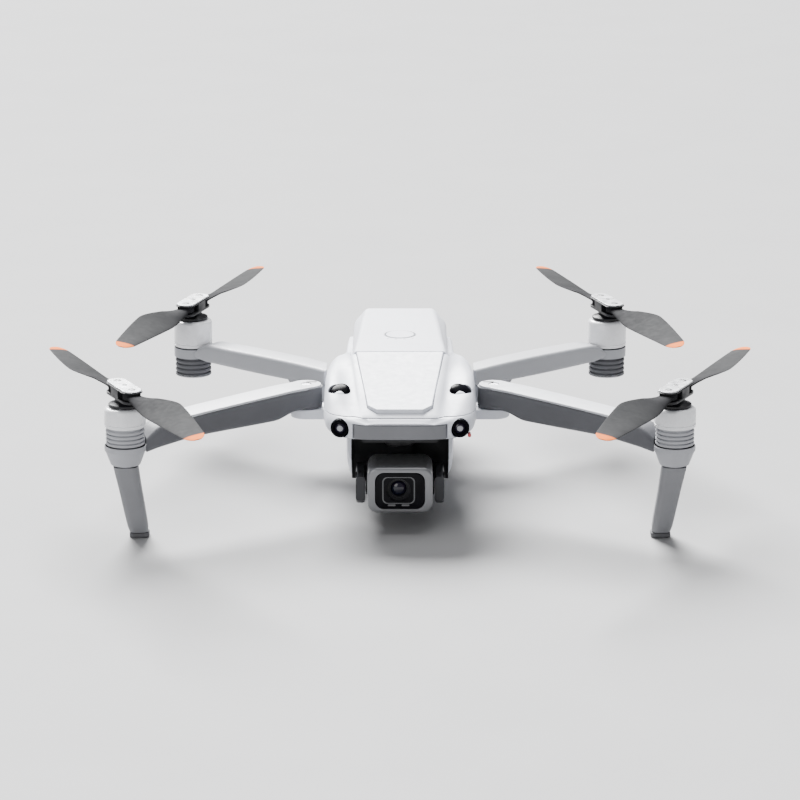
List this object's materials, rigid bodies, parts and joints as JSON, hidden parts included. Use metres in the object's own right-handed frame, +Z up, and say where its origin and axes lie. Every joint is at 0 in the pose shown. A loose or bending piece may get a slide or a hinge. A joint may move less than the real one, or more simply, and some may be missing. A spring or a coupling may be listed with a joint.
{
  "type": "folding camera quadcopter",
  "caption": "Folding quadcopter with jointed arms, spinning rotors with folding blades, a gimballed nose camera and a slide-out battery.",
  "frame": {"origin": "on the ground under the middle of the aircraft, arms and blades out", "axes": "+Z up, -Y out of the nose, +X to the right of someone who faces the nose, so to the aircraft's own left"},
  "size_m": [0.3128, 0.3358, 0.0704],
  "materials": {
    "shell": "fine satin moulded shell, very light cool grey",
    "arm_grey": "satin mid-grey arm plastic",
    "nose_grey": "fine-grained grey plastic",
    "blade": "satin grey propeller plastic with orange-gold tips",
    "dark": "near-black satin plastic",
    "silver": "fine satin aluminium",
    "steel": "ground steel pin",
    "sink": "plain extruded aluminium",
    "board": "solder-masked circuit board",
    "lens": "polished black window",
    "glass": "smoked front window",
    "rubber": "matte rubber",
    "red_light": "red light guide"
  },
  "bodies": {
    "root": {"middle_frame": "shell", "bottom_cover": "shell", "top_cover": "shell", "nose_panel": "shell", "nose_band": "nose_grey", "main_board": "board", "heat_sink": "sink", "downward_sensor": "dark", "status_light": "red_light", "rear_sensor": "lens", "gimbal_plate": "dark", "forward_sensor_left": "lens", "upward_sensor_left": "lens", "rear_foot_left": "rubber", "front_hinge_pin_left": "steel", "rear_hinge_pin_left": "steel", "forward_sensor_right": "lens", "upward_sensor_right": "lens", "rear_foot_right": "rubber", "front_hinge_pin_right": "steel", "rear_hinge_pin_right": "steel"},
    "front_arm_left": {"front_arm_left": "arm_grey", "landing_leg_left": "arm_grey", "foot_pad_left": "rubber", "front_motor_base_left": "arm_grey"},
    "rear_arm_left": {"rear_arm_left": "arm_grey", "rear_motor_base_left": "arm_grey"},
    "front_rotor_left": {"front_motor_bell_left": "silver", "front_prop_hub_left": "dark"},
    "front_blade_1_left": {"front_blade_1_left": "blade"},
    "front_blade_2_left": {"front_blade_2_left": "blade"},
    "rear_rotor_left": {"rear_motor_bell_left": "silver", "rear_prop_hub_left": "dark"},
    "rear_blade_1_left": {"rear_blade_1_left": "blade"},
    "rear_blade_2_left": {"rear_blade_2_left": "blade"},
    "front_arm_right": {"front_arm_right": "arm_grey", "landing_leg_right": "arm_grey", "foot_pad_right": "rubber", "front_motor_base_right": "arm_grey"},
    "rear_arm_right": {"rear_arm_right": "arm_grey", "rear_motor_base_right": "arm_grey"},
    "front_rotor_right": {"front_motor_bell_right": "silver", "front_prop_hub_right": "dark"},
    "front_blade_1_right": {"front_blade_1_right": "blade"},
    "front_blade_2_right": {"front_blade_2_right": "blade"},
    "rear_rotor_right": {"rear_motor_bell_right": "silver", "rear_prop_hub_right": "dark"},
    "rear_blade_1_right": {"rear_blade_1_right": "blade"},
    "rear_blade_2_right": {"rear_blade_2_right": "blade"},
    "gimbal_yaw": {"gimbal_yaw_arm": "dark"},
    "gimbal_roll": {"gimbal_roll_arm": "dark"},
    "camera": {"camera_body": "silver", "lens_barrel": "dark", "front_glass": "glass"},
    "battery": {"battery_pack": "shell"},
    "battery_latch_left": {"battery_latch_left": "arm_grey"},
    "battery_latch_right": {"battery_latch_right": "arm_grey"},
    "power_button": {"power_button": "shell"},
    "port_cover": {"port_cover": "shell"},
    "cooling_fan": {"cooling_fan": "dark"}
  },
  "joints": [
    {"name": "front_fold_left", "type": "hinge", "parent": "root", "child": "front_arm_left", "pos_m": [-0.0415, -0.0318, 0.0515], "axis": [0, 0, -1], "range_deg": [0, 124]},
    {"name": "rear_fold_left", "type": "hinge", "parent": "root", "child": "rear_arm_left", "pos_m": [-0.041, 0.0392, 0.031], "axis": [-0.9205, -0.3907, 0], "range_deg": [0, 180]},
    {"name": "front_spin_left", "type": "hinge", "parent": "front_arm_left", "child": "front_rotor_left", "pos_m": [-0.1181, -0.0874, 0.0675], "axis": [0, 0, 1], "continuous": true},
    {"name": "front_blade_1_fold_left", "type": "hinge", "parent": "front_rotor_left", "child": "front_blade_1_left", "pos_m": [-0.12171, -0.07948, 0.0675], "axis": [0, 0, -1], "range_deg": [-80, 80]},
    {"name": "front_blade_2_fold_left", "type": "hinge", "parent": "front_rotor_left", "child": "front_blade_2_left", "pos_m": [-0.11449, -0.09532, 0.0675], "axis": [0, 0, 1], "range_deg": [-80, 80]},
    {"name": "rear_spin_left", "type": "hinge", "parent": "rear_arm_left", "child": "rear_rotor_left", "pos_m": [-0.0974, 0.0848, 0.0643], "axis": [0, 0, 1], "continuous": true},
    {"name": "rear_blade_1_fold_left", "type": "hinge", "parent": "rear_rotor_left", "child": "rear_blade_1_left", "pos_m": [-0.09457, 0.09303, 0.0643], "axis": [0, 0, 1], "range_deg": [-80, 80]},
    {"name": "rear_blade_2_fold_left", "type": "hinge", "parent": "rear_rotor_left", "child": "rear_blade_2_left", "pos_m": [-0.10023, 0.07657, 0.0643], "axis": [0, 0, 1], "range_deg": [-80, 80]},
    {"name": "front_fold_right", "type": "hinge", "parent": "root", "child": "front_arm_right", "pos_m": [0.0415, -0.0318, 0.0515], "axis": [0, 0, 1], "range_deg": [0, 124]},
    {"name": "rear_fold_right", "type": "hinge", "parent": "root", "child": "rear_arm_right", "pos_m": [0.041, 0.0392, 0.031], "axis": [-0.9205, 0.3907, 0], "range_deg": [0, 180]},
    {"name": "front_spin_right", "type": "hinge", "parent": "front_arm_right", "child": "front_rotor_right", "pos_m": [0.1181, -0.0874, 0.0675], "axis": [0, 0, 1], "continuous": true},
    {"name": "front_blade_1_fold_right", "type": "hinge", "parent": "front_rotor_right", "child": "front_blade_1_right", "pos_m": [0.12171, -0.07948, 0.0675], "axis": [0, 0, 1], "range_deg": [-80, 80]},
    {"name": "front_blade_2_fold_right", "type": "hinge", "parent": "front_rotor_right", "child": "front_blade_2_right", "pos_m": [0.11449, -0.09532, 0.0675], "axis": [0, 0, -1], "range_deg": [-80, 80]},
    {"name": "rear_spin_right", "type": "hinge", "parent": "rear_arm_right", "child": "rear_rotor_right", "pos_m": [0.0974, 0.0848, 0.0643], "axis": [0, 0, 1], "continuous": true},
    {"name": "rear_blade_1_fold_right", "type": "hinge", "parent": "rear_rotor_right", "child": "rear_blade_1_right", "pos_m": [0.09457, 0.09303, 0.0643], "axis": [0, 0, -1], "range_deg": [-80, 80]},
    {"name": "rear_blade_2_fold_right", "type": "hinge", "parent": "rear_rotor_right", "child": "rear_blade_2_right", "pos_m": [0.10023, 0.07657, 0.0643], "axis": [0, 0, -1], "range_deg": [-80, 80]},
    {"name": "gimbal_yaw", "type": "hinge", "parent": "root", "child": "gimbal_yaw", "pos_m": [0, -0.0478, 0.036], "axis": [0, 0, 1], "range_deg": [-18, 18]},
    {"name": "gimbal_roll", "type": "hinge", "parent": "gimbal_yaw", "child": "gimbal_roll", "pos_m": [0, -0.0458, 0.0202], "axis": [0, 1, 0], "range_deg": [-20, 20]},
    {"name": "camera_tilt", "type": "hinge", "parent": "gimbal_roll", "child": "camera", "pos_m": [0, -0.0648, 0.0202], "axis": [-1, 0, 0], "range_deg": [-24, 90]},
    {"name": "battery_slide", "type": "slide", "parent": "root", "child": "battery", "axis": [0, 1, 0], "range_m": [0, 0.1]},
    {"name": "battery_latch_left", "type": "slide", "parent": "battery", "child": "battery_latch_left", "axis": [1, 0, 0], "range_m": [0, 0.0014], "stiffness_N_per_m": 600},
    {"name": "battery_latch_right", "type": "slide", "parent": "battery", "child": "battery_latch_right", "axis": [-1, 0, 0], "range_m": [0, 0.0014], "stiffness_N_per_m": 600},
    {"name": "power_button", "type": "slide", "parent": "battery", "child": "power_button", "axis": [0, 0, -1], "range_m": [0, 0.0005], "stiffness_N_per_m": 800},
    {"name": "port_cover", "type": "hinge", "parent": "root", "child": "port_cover", "pos_m": [0.0249, 0.0842, 0.0317], "axis": [0, 1, 0], "range_deg": [0, 95]},
    {"name": "fan_spin", "type": "hinge", "parent": "root", "child": "cooling_fan", "pos_m": [0, -0.0158, 0.0295], "axis": [0, 0, 1], "continuous": true}
  ],
  "couplings": [
    {"joint": "rear_fold_left", "follows": "front_fold_left", "ratio": 1.4516},
    {"joint": "rear_fold_right", "follows": "front_fold_right", "ratio": 1.4516}
  ]
}
